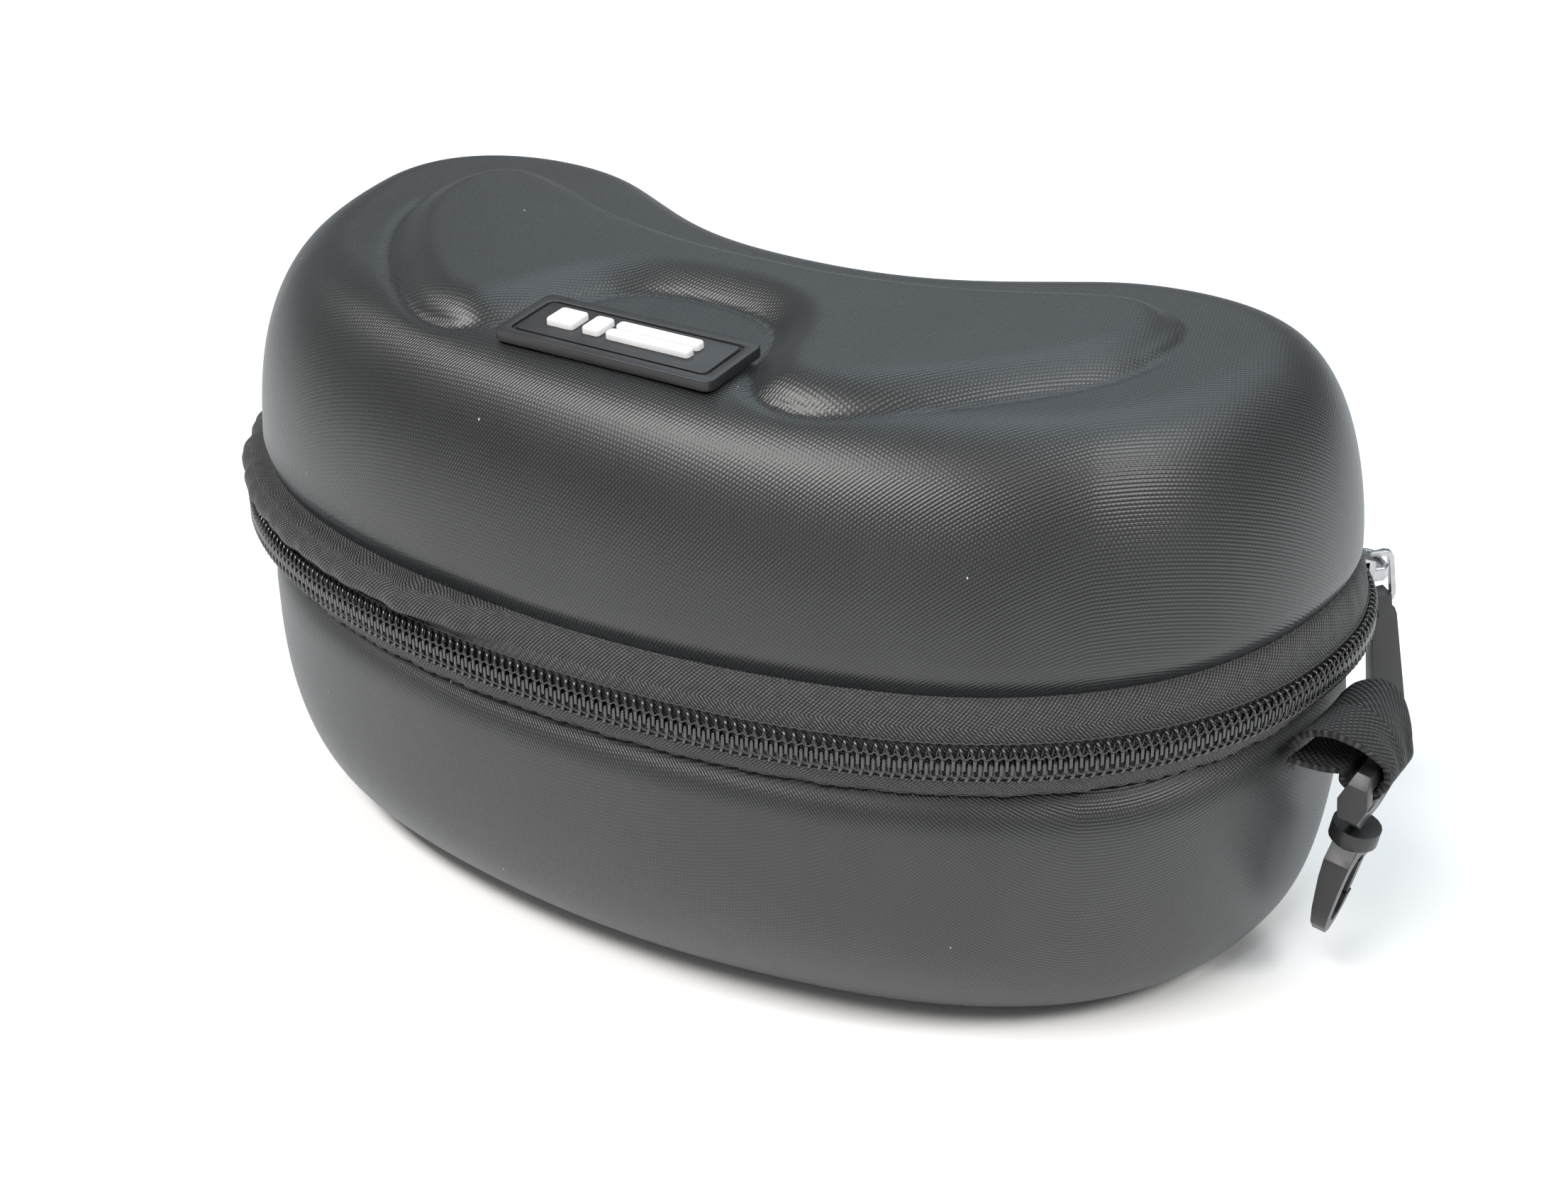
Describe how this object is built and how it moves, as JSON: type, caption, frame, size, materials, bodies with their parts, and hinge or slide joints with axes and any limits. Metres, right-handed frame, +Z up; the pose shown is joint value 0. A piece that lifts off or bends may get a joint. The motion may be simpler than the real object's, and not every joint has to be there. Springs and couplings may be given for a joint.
{
  "type": "hard zip case",
  "caption": "Moulded fabric-covered case with a bean-shaped plan, a lid on a fabric hinge, a coil zip round the front, a rubber badge and a swivel snap hook on a web loop.",
  "frame": {"origin": "middle of the whole object's box in X and Y, at the flat underside the case rests on", "axes": "+X along the case, towards the end with the snap hook; -Y out of the convex front; +Z up"},
  "size_m": [0.216, 0.115, 0.1077],
  "materials": {
    "cover_fabric": "fine ribbed charcoal knit laminated over foam, soft satin sheen",
    "lining_fabric": "matt black tricot",
    "binding_fabric": "black woven binding",
    "woven_tape": "black herringbone tape and webbing",
    "nylon_coil": "glossy black nylon",
    "badge_rubber": "matt black moulded rubber",
    "white_rubber": "white moulded rubber",
    "bright_metal": "bright nickel plate",
    "black_plastic": "black moulded nylon, slight sheen"
  },
  "bodies": {
    "base": {"base_shell": "cover_fabric", "base_lining": "lining_fabric", "base_binding": "binding_fabric", "lower_zip_tape": "woven_tape", "lower_zip_coil": "nylon_coil", "lower_top_stop": "nylon_coil", "bottom_stop": "nylon_coil", "hinge_gusset": "woven_tape", "web_loop": "woven_tape"},
    "lid": {"lid_shell": "cover_fabric", "lid_lining": "lining_fabric", "lid_binding": "binding_fabric", "upper_zip_tape": "woven_tape", "upper_zip_coil": "nylon_coil", "upper_top_stop": "nylon_coil", "badge": "badge_rubber", "badge_motif": "white_rubber"},
    "slider": {"slider_body": "bright_metal", "slider_crown": "bright_metal"},
    "puller_link": {"puller_link": "bright_metal"},
    "puller_grip": {"puller_grip": "black_plastic"},
    "hook_eye": {"hook_eye": "black_plastic"},
    "hook": {"hook_body": "black_plastic"},
    "gate": {"hook_gate": "black_plastic", "gate_pin": "bright_metal"}
  },
  "joints": [
    {"name": "lid_hinge", "type": "hinge", "parent": "base", "child": "lid", "pos_m": [-0.0056, 0.0583, 0.057], "axis": [-1, 0, 0], "range_deg": [0, 95], "deforming": ["hinge_gusset", "upper_zip_tape", "upper_zip_coil"]},
    {"name": "zip_slide", "type": "hinge", "parent": "base", "child": "slider", "pos_m": [0.05852, 0.02174, 0.057], "axis": [0, 0, -1], "range_deg": [0, 30], "deforming": ["lower_zip_tape", "lower_zip_coil"]},
    {"name": "puller_swing", "type": "hinge", "parent": "slider", "child": "puller_link", "pos_m": [0.08825, 0.05148, 0.057], "axis": [0.7083, -0.7059, 0], "range_deg": [-8, 110]},
    {"name": "grip_swing", "type": "hinge", "parent": "puller_link", "child": "puller_grip", "pos_m": [0.08904, 0.05227, 0.04994], "axis": [-0.6973, -0.6996, -0.1564], "range_deg": [-60, 60]},
    {"name": "hook_swing", "type": "hinge", "parent": "base", "child": "hook_eye", "pos_m": [0.1042, 0.0129, 0.0432], "axis": [0, -1, 0], "range_deg": [0, 70]},
    {"name": "hook_swivel", "type": "hinge", "parent": "hook_eye", "child": "hook", "pos_m": [0.10203, 0.0129, 0.03089], "axis": [0.1736, 0, 0.9848], "continuous": true},
    {"name": "gate_hinge", "type": "hinge", "parent": "hook", "child": "gate", "pos_m": [0.10102, 0.0177, 0.02518], "axis": [-0.9848, 0, 0.1736], "range_deg": [0, 20], "stiffness_Nm_per_rad": 0.004, "springref_deg": -5.73}
  ]
}
